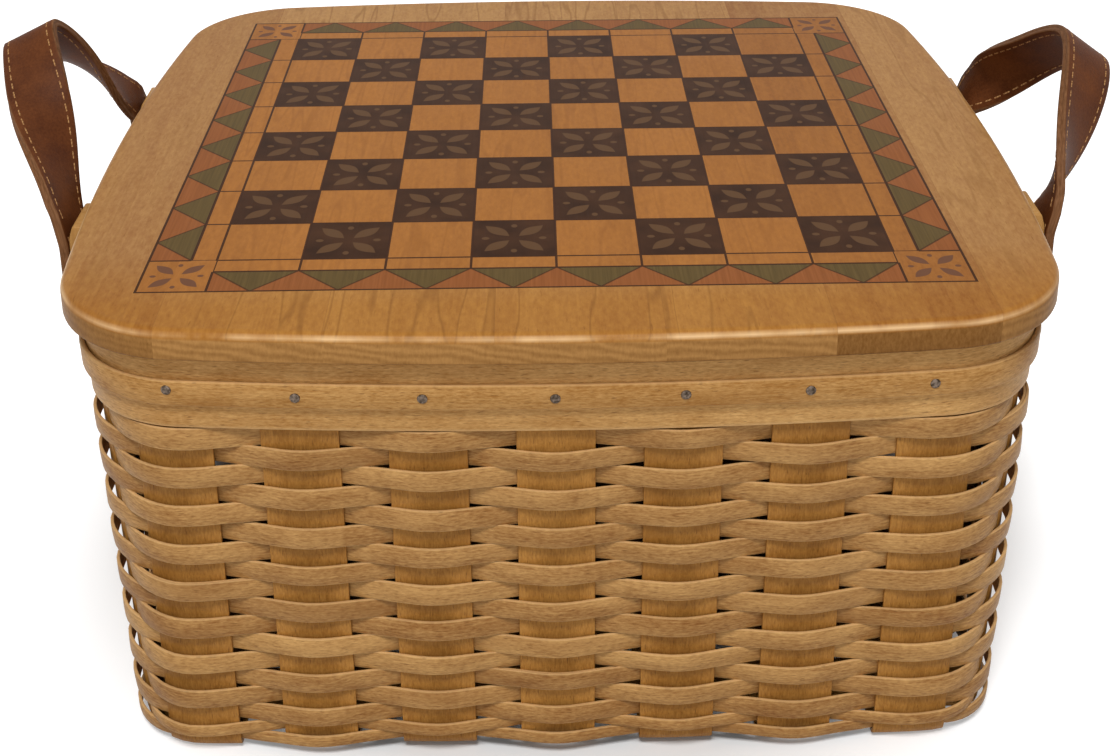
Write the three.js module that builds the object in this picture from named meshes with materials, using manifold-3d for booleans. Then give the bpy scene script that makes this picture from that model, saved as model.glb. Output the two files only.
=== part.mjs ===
// Lidded splint basket with two strap handles.
// Millimetres, +Z up. Origin on the floor under the middle; the front is -Y, the handles stand at +X and -X.
import * as THREE from 'three';
import { mergeVertices } from 'three/addons/utils/BufferGeometryUtils.js';
import Module from 'manifold-3d';

const wasm = await Module();
wasm.setup();

// Basket body: plan sizes are those of the stakes' middle surface
const rimHeight = 181;
const rimHalfX = 181.6;
const rimHalfY = 178.7;
const rimCornerRadius = 43;
const wallLean = 9.5;
const floorHalfX = rimHalfX - wallLean;
const floorHalfY = rimHalfY - wallLean;
const cornerTightening = 15;
const floorCornerRadius = rimCornerRadius - cornerTightening;
const sideBowRadius = 1400;

// Stakes: the wide upright splints, which run up one wall, across the bottom and up the other wall
const stakeCount = 7;
const stakeWidth = 28.5;
const stakeThickness = 1.8;
const endStakeInsetX = 43.6;
const endStakeInsetY = 40.7;
const frontStakeShift = -3;
const stakeBendRadius = 4.5;
const stakeTopDrop = 0.5;

// Rim: two bands with the stakes between them and a narrow strip nailed round the outside
const outerBandHeight = 30.7;
const outerBandThickness = 2.2;
const innerBandHeight = 26;
const innerBandThickness = 2.2;
const trimHeight = 10.1;
const trimThickness = 2;
const trimMiddleBelowRim = 15.5;

// Weavers: the narrow splints, each one a closed row round the basket. Two slimmer rows start the wall at the
// foot, and the others fill it up to the band.
const weaverCount = 18;
const footWeaverCount = 2;
const footWeaverWidth = 4.8;
const weaverThickness = 1.3;
const weaverSwing = 2.5;
const weaverFlatHalf = 13;
const weaverCornerBulge = 0.6;
const lowestWeaverEdge = 4.2;
const weaverRowGap = 0.4;
const weaverBandGap = 0.7;
const highestWeaverEdge = rimHeight - outerBandHeight - weaverBandGap;
const footWeaverPitch = footWeaverWidth + weaverRowGap;
const footTop = lowestWeaverEdge + footWeaverCount * footWeaverPitch;
const weaverPitch = (highestWeaverEdge + weaverRowGap - footTop) / (weaverCount - footWeaverCount);
const weaverWidth = weaverPitch - weaverRowGap;

// Lid
const lidThickness = 11.7;
const lidOverhang = 10;
const lidTopRound = 4.5;
const lidBottomRound = 1.5;
const cleatEndInset = 21.6;
const cleatLength = 2 * (rimHalfX - cleatEndInset);
const cleatWidth = 28;
const cleatThickness = 11;
const cleatInset = 73.7;
const cleatOffset = rimHalfY - cleatInset;
const cleatChamfer = 2.5;

// Handles: wooden ears on the rim carry straps, each riveted at both ends
const earWidth = 24;
const earMiddleY = 68;
const earBottomBelowRim = 32;
const earTopAboveRim = 4.5;
const earThickness = 5.8;
const earTopThickness = 4;
const earTaperBelowRim = 3;
const strapWidth = 25.5;
const strapThickness = 4;
const strapEndBelowHinge = 19.5;
const strapSkive = 5.5;
const hingeBelowRim = 1;
const strapRise = 64;
const strapFootPull = 5;
const strapCrownPull = 24;
const strapLean = 24;
const strapTwistStart = 0.07;
const strapTwistEnd = 0.6;
const strapSteps = 12;
const rivetRadius = 2.4;
const rivetHeadRadius = 6;
const rivetHeadHeight = 1.8;
const rivetBelowHinge = 11;
const rivetBoreLength = 60;

// Clearances between neighbouring pieces
const bandGap = 0.5;
const trimGap = 0.2;
const crossingGap = 0.3;
const lidGap = 0.3;
const earGap = 0.4;
const earLidGap = 0.7;
const tabGap = 0.15;
const hingeGap = 0.5;
const rivetGap = 0.3;

// Colours
const stakeColour = 0xb08a52;
const weaverColour = 0xbc9763;
const bandColour = 0xb28d58;
const lidColour = 0xc29363;
const leatherColour = 0x6b3a20;
const rivetColour = 0x9a6a3c;

const part = new THREE.Group();

function addMesh(name, geometry, colour, roughness, metalness = 0) {
  const material = new THREE.MeshStandardMaterial({ color: colour, roughness, metalness });
  const mesh = new THREE.Mesh(geometry, material);
  mesh.name = name;
  part.add(mesh);
}

// Plan outline: four slightly bowed sides joined by tangent corner arcs

function makeOutline(halfX, halfY, cornerRadius) {
  const reach = sideBowRadius - cornerRadius;
  const centreX = sideBowRadius - halfX;
  const centreY = sideBowRadius - halfY;
  let cornerX = halfX - cornerRadius;
  let cornerY = halfY - cornerRadius;
  for (let pass = 0; pass < 40; pass += 1) {
    cornerX = Math.sqrt(reach ** 2 - cornerY ** 2) - centreX;
    cornerY = Math.sqrt(reach ** 2 - cornerX ** 2) - centreY;
  }
  return { halfX, halfY, cornerRadius, cornerX, cornerY };
}

const rimOutline = makeOutline(rimHalfX, rimHalfY, rimCornerRadius);
const floorOutline = makeOutline(floorHalfX, floorHalfY, floorCornerRadius);

// Distance from the middle to the outline on the front ('y') or the right ('x') side, at `along` on that side.
// `offset` moves the outline outwards.
function outlineDepth(outline, axis, along, offset) {
  const half = axis === 'y' ? outline.halfY : outline.halfX;
  const cornerAlong = axis === 'y' ? outline.cornerX : outline.cornerY;
  const cornerAcross = axis === 'y' ? outline.cornerY : outline.cornerX;
  const reach = Math.abs(along);
  const radius = sideBowRadius + offset;
  const tangent = radius * cornerAlong / (sideBowRadius - outline.cornerRadius);
  if (reach <= tangent) return half - sideBowRadius + Math.sqrt(radius ** 2 - reach ** 2);
  return cornerAcross + Math.sqrt((outline.cornerRadius + offset) ** 2 - (reach - cornerAlong) ** 2);
}

// The wall leans: it is ruled between the floor outline and the rim outline
function wallDepth(axis, along, offset, z) {
  const atFloor = outlineDepth(floorOutline, axis, along, offset);
  const atRim = outlineDepth(rimOutline, axis, along, offset);
  return THREE.MathUtils.lerp(atFloor, atRim, z / rimHeight);
}

// A station is a place on the way round; it gives [x, y] for an offset and a height
const sides = [
  (along, depth) => [along, -depth],
  (along, depth) => [depth, along],
  (along, depth) => [-along, depth],
  (along, depth) => [-depth, -along],
];
const sideAxis = ['y', 'x', 'y', 'x'];

function sideStation(side, along) {
  return (offset, z) => {
    const place = side < 2 ? along : -along;
    return sides[side](along, wallDepth(sideAxis[side], place, offset, z));
  };
}

function cornerPlace(outline, corner, angle, offset) {
  const signX = corner === 0 || corner === 1 ? 1 : -1;
  const signY = corner === 0 || corner === 3 ? -1 : 1;
  const radius = outline.cornerRadius + offset;
  return [
    signX * outline.cornerX + radius * Math.cos(angle),
    signY * outline.cornerY + radius * Math.sin(angle),
  ];
}

function cornerStation(corner, share) {
  return (offset, z) => {
    const place = [floorOutline, rimOutline].map((outline) => {
      const lead = Math.asin(outline.cornerX / (sideBowRadius - outline.cornerRadius));
      const tail = Math.asin(outline.cornerY / (sideBowRadius - outline.cornerRadius));
      const flip = corner % 2 === 0;
      const start = flip ? lead : tail;
      const stop = flip ? tail : lead;
      const turn = THREE.MathUtils.lerp(start, Math.PI / 2 - stop, share);
      return cornerPlace(outline, corner, -Math.PI / 2 + corner * Math.PI / 2 + turn, offset);
    });
    const rise = z / rimHeight;
    return [
      THREE.MathUtils.lerp(place[0][0], place[1][0], rise),
      THREE.MathUtils.lerp(place[0][1], place[1][1], rise),
    ];
  };
}

// Stations evenly round the whole outline, for bands and the lid
function smoothStations(cornerSteps, sideSteps) {
  const stations = [];
  const sideSpan = rimOutline.cornerX * 0.76;
  for (let side = 0; side < 4; side += 1) {
    for (let step = 0; step <= sideSteps; step += 1) {
      stations.push(sideStation(side, sideSpan * (2 * step / sideSteps - 1)));
    }
    for (let step = 0; step <= cornerSteps; step += 1) {
      stations.push(cornerStation(side, step / cornerSteps));
    }
  }
  return stations;
}

// Lofts

function orientOutward(geometry) {
  const position = geometry.getAttribute('position');
  const index = geometry.getIndex().array;
  const a = new THREE.Vector3();
  const b = new THREE.Vector3();
  const c = new THREE.Vector3();
  let volume = 0;
  for (let i = 0; i < index.length; i += 3) {
    a.fromBufferAttribute(position, index[i]);
    b.fromBufferAttribute(position, index[i + 1]);
    c.fromBufferAttribute(position, index[i + 2]);
    volume += a.dot(b.cross(c));
  }
  if (volume < 0) {
    for (let i = 0; i < index.length; i += 3) {
      [index[i + 1], index[i + 2]] = [index[i + 2], index[i + 1]];
    }
  }
  geometry.computeVertexNormals();
  return geometry;
}

function toGeometry(points, triangles) {
  const geometry = new THREE.BufferGeometry();
  geometry.setAttribute('position', new THREE.Float32BufferAttribute(points.flat(), 3));
  geometry.setIndex(triangles.flat());
  return orientOutward(geometry);
}

// Joins sections of equal length. A closed loft is a ring; an open one gets flat ends, zipped across the strip.
function loft(sections, closed = false) {
  const count = sections[0].length;
  const triangles = [];
  const last = closed ? sections.length : sections.length - 1;
  for (let row = 0; row < last; row += 1) {
    const from = row * count;
    const to = ((row + 1) % sections.length) * count;
    for (let side = 0; side < count; side += 1) {
      const next = (side + 1) % count;
      triangles.push([from + side, from + next, to + next], [from + side, to + next, to + side]);
    }
  }
  if (!closed) {
    const end = (sections.length - 1) * count;
    for (let side = 0; side < count / 2 - 1; side += 1) {
      const far = count - 1 - side;
      triangles.push([side, far, side + 1], [side + 1, far, far - 1]);
      triangles.push([end + side, end + side + 1, end + far], [end + side + 1, end + far - 1, end + far]);
    }
  }
  return toGeometry(sections.flat(), triangles);
}

// A stack of closed plan outlines with a flat bottom and a flat top
function stack(levels) {
  const count = levels[0].length;
  const points = levels.flat();
  const triangles = [];
  for (let level = 0; level < levels.length - 1; level += 1) {
    for (let place = 0; place < count; place += 1) {
      const next = (place + 1) % count;
      const low = level * count;
      const high = low + count;
      triangles.push([low + place, low + next, high + next], [low + place, high + next, high + place]);
    }
  }
  const bottom = points.length;
  points.push([0, 0, levels[0][0][2]], [0, 0, levels.at(-1)[0][2]]);
  const top = (levels.length - 1) * count;
  for (let place = 0; place < count; place += 1) {
    const next = (place + 1) % count;
    triangles.push([bottom, next, place], [bottom + 1, top + place, top + next]);
  }
  return toGeometry(points, triangles);
}

// Solids joined and cut

function toSolid(geometry) {
  const bare = geometry.clone();
  bare.deleteAttribute('normal');
  bare.deleteAttribute('uv');
  const merged = mergeVertices(bare, 1e-4);
  return new wasm.Manifold(new wasm.Mesh({
    numProp: 3,
    vertProperties: new Float32Array(merged.getAttribute('position').array),
    triVerts: new Uint32Array(merged.getIndex().array),
  }));
}

function fromSolid(solid) {
  const mesh = solid.getMesh();
  const geometry = new THREE.BufferGeometry();
  geometry.setAttribute('position', new THREE.Float32BufferAttribute(mesh.vertProperties, 3));
  geometry.setIndex(Array.from(mesh.triVerts));
  geometry.computeVertexNormals();
  return geometry;
}

function drill(geometry, bore) {
  return fromSolid(toSolid(geometry).subtract(toSolid(bore)));
}

// Woven body

// Middles of the stakes along one side, evenly between its end stakes
function stakeMiddles(half, endInset, shift) {
  const reach = half - endInset;
  return Array.from({ length: stakeCount }, (_, k) => shift + reach * (2 * k / (stakeCount - 1) - 1));
}

const frontStakes = stakeMiddles(rimHalfX, endStakeInsetX, frontStakeShift);
const sideStakes = stakeMiddles(rimHalfY, endStakeInsetY, 0);

// In the bottom the stakes pass over and under each other about this height
const bottomSwing = (stakeThickness + crossingGap) / 2;
const bottomMiddle = bottomSwing + stakeThickness / 2;

function bottomHeight(parity) {
  return bottomMiddle + (parity % 2 === 0 ? -bottomSwing : bottomSwing);
}

// The stake's path at one place across its width, as [distance out, height] from one rim to the other.
// `face` is +1 for the outer face and -1 for the inner one.
function stakePath(axis, across, index, crossings, parityShift, face) {
  const offset = face * stakeThickness / 2;
  const height = (crossing) => bottomHeight(index + crossing + parityShift);
  const path = [];
  const halfTurn = (crossing, sign) => {
    const bendMiddle = height(crossing) + stakeBendRadius;
    const radius = stakeBendRadius + offset;
    const centre = wallDepth(axis, across, offset, bendMiddle) - radius;
    const leg = [[sign * wallDepth(axis, across, offset, rimHeight - stakeTopDrop), rimHeight - stakeTopDrop]];
    const bendSteps = 3;
    for (let step = 0; step <= bendSteps; step += 1) {
      const turn = step / bendSteps * Math.PI / 2;
      leg.push([sign * (centre + radius * Math.cos(turn)), bendMiddle - radius * Math.sin(turn)]);
    }
    return leg;
  };
  path.push(...halfTurn(0, -1));
  crossings.forEach((place, crossing) => {
    const level = height(crossing) - offset;
    if (crossing > 0) path.push([place - weaverFlatHalf, level]);
    if (crossing < crossings.length - 1) path.push([place + weaverFlatHalf, level]);
  });
  path.push(...halfTurn(crossings.length - 1, 1).reverse());
  return path;
}

function makeStake(axis, middle, index, crossings, parityShift) {
  const atEnd = index === 0 || index === stakeCount - 1;
  const places = atEnd ? 4 : 2;
  const across = Array.from({ length: places }, (_, k) => middle + stakeWidth * (k / (places - 1) - 0.5));
  const outer = across.map((place) => stakePath(axis, place, index, crossings, parityShift, 1));
  const inner = across.map((place) => stakePath(axis, place, index, crossings, parityShift, -1));
  const put = axis === 'y' ? (place, [out, z]) => [place, out, z] : (place, [out, z]) => [out, place, z];
  const sections = outer[0].map((_, step) => [
    ...across.map((place, k) => put(place, outer[k][step])),
    ...across.map((place, k) => put(place, inner[k][step])).reverse(),
  ]);
  return loft(sections);
}

frontStakes.forEach((middle, index) => {
  const name = `stake_front_back_${index + 1}`;
  addMesh(name, makeStake('y', middle, index, sideStakes, 0), stakeColour, 0.55);
});
sideStakes.forEach((middle, index) => {
  const name = `stake_left_right_${index + 1}`;
  addMesh(name, makeStake('x', middle, index, frontStakes, 1), stakeColour, 0.55);
});

// A weaver passes outside one stake and inside the next; each next row does the opposite
function makeWeaver(row) {
  const atFoot = row < footWeaverCount;
  const width = atFoot ? footWeaverWidth : weaverWidth;
  const atWall = footTop + (row - footWeaverCount) * weaverPitch;
  const bottom = atFoot ? lowestWeaverEdge + row * footWeaverPitch : atWall;
  const middle = bottom + width / 2;
  const sections = [];
  const addSection = (station, offset) => {
    const corners = [[-1, -1], [1, -1], [1, 1], [-1, 1]];
    sections.push(corners.map(([out, up]) => {
      const z = middle + up * width / 2;
      return [...station(offset + out * weaverThickness / 2, z), z];
    }));
  };
  for (let side = 0; side < 4; side += 1) {
    const places = side % 2 === 0 ? frontStakes : sideStakes;
    const ordered = side === 2 ? places.map((place) => -place).reverse() : places;
    ordered.forEach((place, k) => {
      const offset = (side * stakeCount + k + row) % 2 === 0 ? -weaverSwing : weaverSwing;
      const atEnd = k === 0 || k === stakeCount - 1;
      const steps = atEnd ? [-weaverFlatHalf, 0, weaverFlatHalf] : [-weaverFlatHalf, weaverFlatHalf];
      steps.forEach((step) => addSection(sideStation(side, place + step), offset));
    });
    addSection(cornerStation(side, 0.5), weaverCornerBulge);
  }
  return loft(sections, true);
}

for (let row = 0; row < weaverCount; row += 1) {
  addMesh(`weaver_row_${String(row + 1).padStart(2, '0')}`, makeWeaver(row), weaverColour, 0.55);
}

// Rim

function makeBand(innerOffset, thickness, bottom, top) {
  return loft(smoothStations(8, 4).map((station) => [
    [...station(innerOffset, bottom), bottom],
    [...station(innerOffset + thickness, bottom), bottom],
    [...station(innerOffset + thickness, top), top],
    [...station(innerOffset, top), top],
  ]), true);
}

const bandStart = stakeThickness / 2 + bandGap;
const trimStart = bandStart + outerBandThickness + trimGap;
const trimMiddle = rimHeight - trimMiddleBelowRim;
addMesh('rim_outer_band', makeBand(bandStart, outerBandThickness, rimHeight - outerBandHeight, rimHeight),
  bandColour, 0.5);
addMesh('rim_inner_band', makeBand(-bandStart - innerBandThickness, innerBandThickness,
  rimHeight - innerBandHeight, rimHeight), bandColour, 0.5);
addMesh('rim_trim_strip', makeBand(trimStart, trimThickness, trimMiddle - trimHeight / 2,
  trimMiddle + trimHeight / 2), bandColour, 0.5);

// Lid

const lidBottom = rimHeight + lidGap;
const lidTop = lidBottom + lidThickness;

function makeLidPanel() {
  const edge = [[-lidBottomRound, lidBottom], [0, lidBottom + lidBottomRound]];
  const roundSteps = 3;
  for (let step = 0; step <= roundSteps; step += 1) {
    const turn = step / roundSteps * Math.PI / 2;
    edge.push([lidTopRound * (Math.cos(turn) - 1), lidTop - lidTopRound * (1 - Math.sin(turn))]);
  }
  const stations = smoothStations(8, 4);
  return stack(edge.map(([inset, z]) => stations.map((station) => [
    ...station(lidOverhang + inset, rimHeight), z])));
}

function makeCleat() {
  const half = cleatWidth / 2;
  const shape = new THREE.Shape([
    new THREE.Vector2(-half, 0),
    new THREE.Vector2(-half, cleatChamfer - cleatThickness),
    new THREE.Vector2(-half + cleatChamfer, -cleatThickness),
    new THREE.Vector2(half - cleatChamfer, -cleatThickness),
    new THREE.Vector2(half, cleatChamfer - cleatThickness),
    new THREE.Vector2(half, 0),
  ]);
  const geometry = new THREE.ExtrudeGeometry(shape, { depth: cleatLength, bevelEnabled: false });
  geometry.translate(0, 0, -cleatLength / 2);
  geometry.rotateX(Math.PI / 2);
  geometry.rotateZ(Math.PI / 2);
  return geometry;
}

addMesh('lid_panel', makeLidPanel(), lidColour, 0.4);
[['front', -1], ['back', 1]].forEach(([name, sign]) => {
  const cleat = makeCleat();
  cleat.translate(0, sign * cleatOffset, lidBottom - tabGap);
  addMesh(`lid_cleat_${name}`, cleat, lidColour, 0.5);
});

// Handles

// Where the trim strip's outer face is, beside an ear
function trimFace(y, z) {
  return wallDepth('x', y, trimStart + trimThickness, z);
}

const earFace = outlineDepth(rimOutline, 'x', earMiddleY - earWidth / 2, lidOverhang) + earLidGap + earThickness;
const strapMiddleX = earFace + tabGap + strapThickness / 2;
const hingeHeight = rimHeight - hingeBelowRim;
const rivetHeight = hingeHeight - rivetBelowHinge;

// An ear stands on the trim strip, with a step that lets the lid's edge pass inside it
function makeEar() {
  const bottom = rimHeight - earBottomBelowRim;
  const taper = rimHeight - earTaperBelowRim;
  const top = rimHeight + earTopAboveRim;
  const stepHeight = rimHeight - 0.6;
  const section = (y) => {
    const seat = (z) => trimFace(y, Math.min(z, trimMiddle + trimHeight / 2)) + earGap;
    const stepX = earFace - earThickness;
    const levels = [
      [seat(bottom), earFace, bottom],
      [seat(taper), earFace, taper],
      [seat(stepHeight), earFace - 0.1, stepHeight],
      [stepX, earFace - 0.2, stepHeight + 0.2],
      [stepX, stepX + earTopThickness, top],
    ];
    return [
      ...levels.map(([inside, , z]) => [inside, y, z]),
      ...levels.map(([, outside, z]) => [outside, y, z]).reverse(),
    ];
  };
  const ear = loft([section(earMiddleY - earWidth / 2), section(earMiddleY + earWidth / 2)]);
  return drill(ear, rivetBore());
}

function rivetBore() {
  const bore = new THREE.CylinderGeometry(rivetRadius + rivetGap, rivetRadius + rivetGap, rivetBoreLength, 16);
  bore.rotateZ(Math.PI / 2);
  bore.translate(strapMiddleX, earMiddleY, rivetHeight);
  return bore;
}

// The strap's end lies flat on the ear; its outer edge is pared away where the strap folds down
function makeStrapEnd() {
  const inside = strapMiddleX - strapThickness / 2;
  const outside = strapMiddleX + strapThickness / 2;
  const top = hingeHeight - strapThickness / 2 - hingeGap;
  const levels = [
    [inside, outside, hingeHeight - strapEndBelowHinge],
    [inside, outside, top - strapSkive],
    [inside, strapMiddleX - 0.2, top],
  ];
  const section = (y) => [
    ...levels.map(([near, , z]) => [near, y, z]),
    ...levels.map(([, far, z]) => [far, y, z]).reverse(),
  ];
  const end = loft([section(earMiddleY - strapWidth / 2), section(earMiddleY + strapWidth / 2)]);
  return drill(end, rivetBore());
}

function makeRivet() {
  const innerEnd = trimFace(earMiddleY, rivetHeight) + earGap + 1 - strapMiddleX;
  const seat = strapThickness / 2 + tabGap;
  const rim = seat + rivetHeadHeight / 2;
  const profile = [
    [0, innerEnd],
    [rivetRadius, innerEnd],
    [rivetRadius, seat],
    [rivetHeadRadius, seat],
    [rivetHeadRadius * 0.93, rim],
    [rivetHeadRadius * 0.6, seat + rivetHeadHeight * 0.9],
    [0, seat + rivetHeadHeight],
  ].map(([radius, along]) => new THREE.Vector2(radius, along));
  const rivet = new THREE.LatheGeometry(profile, 16);
  rivet.rotateZ(-Math.PI / 2);
  rivet.translate(strapMiddleX, earMiddleY, rivetHeight);
  return rivet;
}

// The loop between the ears. Its broad side lies against the ear at each foot and turns a quarter
// by the crown, where it faces up and out. `turnSide` is the way it turns.
function makeStrapLoop(turnSide) {
  const lean = THREE.MathUtils.degToRad(strapLean);
  const up = new THREE.Vector3(Math.sin(lean), 0, Math.cos(lean));
  const out = new THREE.Vector3(Math.cos(lean), 0, -Math.sin(lean));
  const foot = new THREE.Vector3(strapMiddleX, 0, hingeHeight);
  const half = new THREE.CubicBezierCurve(
    new THREE.Vector2(-earMiddleY, 0),
    new THREE.Vector2(-earMiddleY, strapFootPull),
    new THREE.Vector2(-strapCrownPull, strapRise),
    new THREE.Vector2(0, strapRise),
  );
  const frames = [];
  for (let step = 0; step <= 2 * strapSteps; step += 1) {
    const far = step > strapSteps;
    const share = far ? 2 - step / strapSteps : step / strapSteps;
    const place = half.getPointAt(share);
    const tangent = half.getTangentAt(share);
    if (far) {
      place.x *= -1;
      tangent.y *= -1;
    }
    const turn = THREE.MathUtils.smoothstep(share, strapTwistStart, strapTwistEnd) * Math.PI / 2;
    frames.push({ place, tangent, turn });
  }
  const toSpace = (v) => new THREE.Vector3(0, v.x, 0).addScaledVector(up, v.y);
  const section = (centre, tangent, turn, thickness) => {
    const inPlane = toSpace(new THREE.Vector2(-tangent.y, tangent.x));
    const wide = inPlane.clone().multiplyScalar(Math.cos(turn)).addScaledVector(out, turnSide * Math.sin(turn));
    const thick = new THREE.Vector3().crossVectors(toSpace(tangent), wide);
    const corners = [[-1, -1], [1, -1], [1, 1], [-1, 1]];
    return corners.map(([across, deep]) => centre.clone()
      .addScaledVector(wide, across * strapWidth / 2)
      .addScaledVector(thick, deep * thickness / 2)
      .toArray());
  };
  const middle = (place) => foot.clone().add(toSpace(place));
  const sections = frames.map(({ place, tangent, turn }) => section(middle(place), tangent, turn, strapThickness));
  const roundOver = strapThickness * 0.4;
  const firstEnd = section(middle(new THREE.Vector2(-earMiddleY, -roundOver)), new THREE.Vector2(0, 1), 0,
    strapThickness * 0.6);
  const lastEnd = section(middle(new THREE.Vector2(earMiddleY, -roundOver)), new THREE.Vector2(0, -1), 0,
    strapThickness * 0.6);
  return loft([firstEnd, ...sections, lastEnd]);
}

// Everything on the handles is drawn at +X and behind the middle, then mirrored into place
function place(geometry, signX, signY) {
  const mirrored = geometry.clone();
  mirrored.scale(signX, signY, 1);
  if (signX * signY < 0) {
    const index = mirrored.getIndex().array;
    for (let i = 0; i < index.length; i += 3) {
      [index[i + 1], index[i + 2]] = [index[i + 2], index[i + 1]];
    }
  }
  return mirrored;
}

const rivet = mergeVertices(makeRivet().deleteAttribute('uv').deleteAttribute('normal'), 1e-4);
const ear = makeEar();
const strapEnd = makeStrapEnd();
[['left', -1], ['right', 1]].forEach(([sideName, signX]) => {
  [['front', -1], ['back', 1]].forEach(([endName, signY]) => {
    const tag = `${sideName}_${endName}`;
    addMesh(`ear_${tag}`, place(ear, signX, signY), bandColour, 0.55);
    addMesh(`strap_end_${tag}`, place(strapEnd, signX, signY), leatherColour, 0.6);
    addMesh(`rivet_${tag}`, place(rivet, signX, signY), rivetColour, 0.35, 0.9);
  });
  const loop = makeStrapLoop(signX < 0 ? 1 : -1);
  addMesh(`strap_loop_${sideName}`, place(loop, signX, 1), leatherColour, 0.6);
});

export default part;
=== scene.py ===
# %% [markdown]
# # A lidded splint basket
# This file dresses the imported basket for a picture. The imported model gives every size and place, so
# each new piece is made in metres where the real one sits. Most pieces then ride on the body that
# carries them, so the lid still lifts. The straps are bent into one settled pose and ride on no body.

# %% Load the imported model
import math
import random
from functools import partialmethod
from math import cos, pi, radians, sin, sqrt

import bmesh
import bpy
import numpy as np
from mathutils import Matrix, Vector


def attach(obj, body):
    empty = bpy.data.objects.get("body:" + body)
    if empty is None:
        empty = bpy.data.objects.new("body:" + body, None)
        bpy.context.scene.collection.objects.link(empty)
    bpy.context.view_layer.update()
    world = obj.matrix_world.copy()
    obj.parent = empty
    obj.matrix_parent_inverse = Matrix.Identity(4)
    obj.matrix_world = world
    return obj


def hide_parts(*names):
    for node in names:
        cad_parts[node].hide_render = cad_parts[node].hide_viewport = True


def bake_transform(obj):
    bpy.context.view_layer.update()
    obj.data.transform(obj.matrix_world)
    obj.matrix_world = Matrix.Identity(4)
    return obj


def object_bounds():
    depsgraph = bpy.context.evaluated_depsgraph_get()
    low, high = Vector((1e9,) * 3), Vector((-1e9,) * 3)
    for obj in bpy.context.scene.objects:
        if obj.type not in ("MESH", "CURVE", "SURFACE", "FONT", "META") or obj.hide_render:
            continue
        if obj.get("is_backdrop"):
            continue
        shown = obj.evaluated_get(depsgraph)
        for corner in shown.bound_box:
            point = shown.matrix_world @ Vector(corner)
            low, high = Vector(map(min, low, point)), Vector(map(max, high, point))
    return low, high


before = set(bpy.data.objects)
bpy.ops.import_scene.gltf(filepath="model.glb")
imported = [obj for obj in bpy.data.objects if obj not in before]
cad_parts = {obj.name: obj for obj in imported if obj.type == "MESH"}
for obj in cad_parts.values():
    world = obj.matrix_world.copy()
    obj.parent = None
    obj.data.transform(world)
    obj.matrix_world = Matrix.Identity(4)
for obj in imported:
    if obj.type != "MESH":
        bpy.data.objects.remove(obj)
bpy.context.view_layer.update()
MM = 0.001

# %% [markdown]
# ## The camera
# The photograph looks down at the front from about an arm's length, through a lens of 56 mm. It is
# the lower part of a taller view, so the lens is shifted down as well: that keeps the front wall
# almost upright while the lid's sides converge strongly.

# %% Camera
def show(name, data):
    """Puts a camera, a lamp or a mesh in the scene, as an object at the origin."""
    shown = bpy.data.objects.new(name, data)
    bpy.context.scene.collection.objects.link(shown)
    return shown


CAMERA_PLACE = (-0.0097, -0.716, 0.4821)
YAW, PITCH, ROLL = (radians(v) for v in (0.91, 20.7, -0.37))


def make_camera():
    data = bpy.data.cameras.new("camera")
    data.sensor_width = 36
    data.lens = 56.04
    data.shift_y = -0.2576
    camera = show("camera", data)
    level = cos(PITCH)
    forward = Vector((sin(YAW) * level, cos(YAW) * level, -sin(PITCH)))
    turn = forward.to_track_quat("-Z", "Y").to_matrix().to_4x4()
    camera.matrix_world = Matrix.Translation(CAMERA_PLACE) @ turn @ Matrix.Rotation(ROLL, 4, "Z")
    bpy.context.scene.camera = camera
    return camera


print("camera at", [round(v, 3) for v in make_camera().location])

# %% [markdown]
# ## The studio lamps
# A soft box hangs high behind the camera. Two weak ones, below it and behind the basket, lift the
# shadows. Together they let a colour render about as it is written. The lamp behind is left out of
# reflections, because it would lay a haze on the lid.

# %% Lamps
BASKET_MIDDLE = Vector((0, 0, 0.1))


def soft_box(name, place, size, power):
    data = bpy.data.lights.new(name, "AREA")
    data.shape = "DISK"
    data.size = size
    data.energy = power
    lamp = show(name, data)
    lamp.location = place
    lamp.rotation_euler = (BASKET_MIDDLE - Vector(place)).to_track_quat("-Z", "Y").to_euler()
    return lamp


soft_box("key", (-0.25, -1.95, 3.35), 1.1, 107)
soft_box("fill", (-0.1, -1.9, 0.9), 1.0, 7)
back_box = soft_box("back", (0.6, 2.4, 1.7), 1.4, 15)
back_box.visible_glossy = False
print("lamps", [lamp.name for lamp in bpy.data.lights])

# %% [markdown]
# ## Writing shader maths
# A material is a net of nodes. A small class wraps a socket, so that sums on it read as sums and
# each one adds its Math node. Any other node comes from one method.

# %% Shader helper
def srgb(code):
    """A colour as it is written for the screen, turned into the light values that Blender works in."""
    parts = [int(code[i:i + 2], 16) / 255 for i in (0, 2, 4)]
    return tuple(c / 12.92 if c <= 0.04045 else ((c + 0.055) / 1.055) ** 2.4 for c in parts) + (1.0,)


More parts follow.
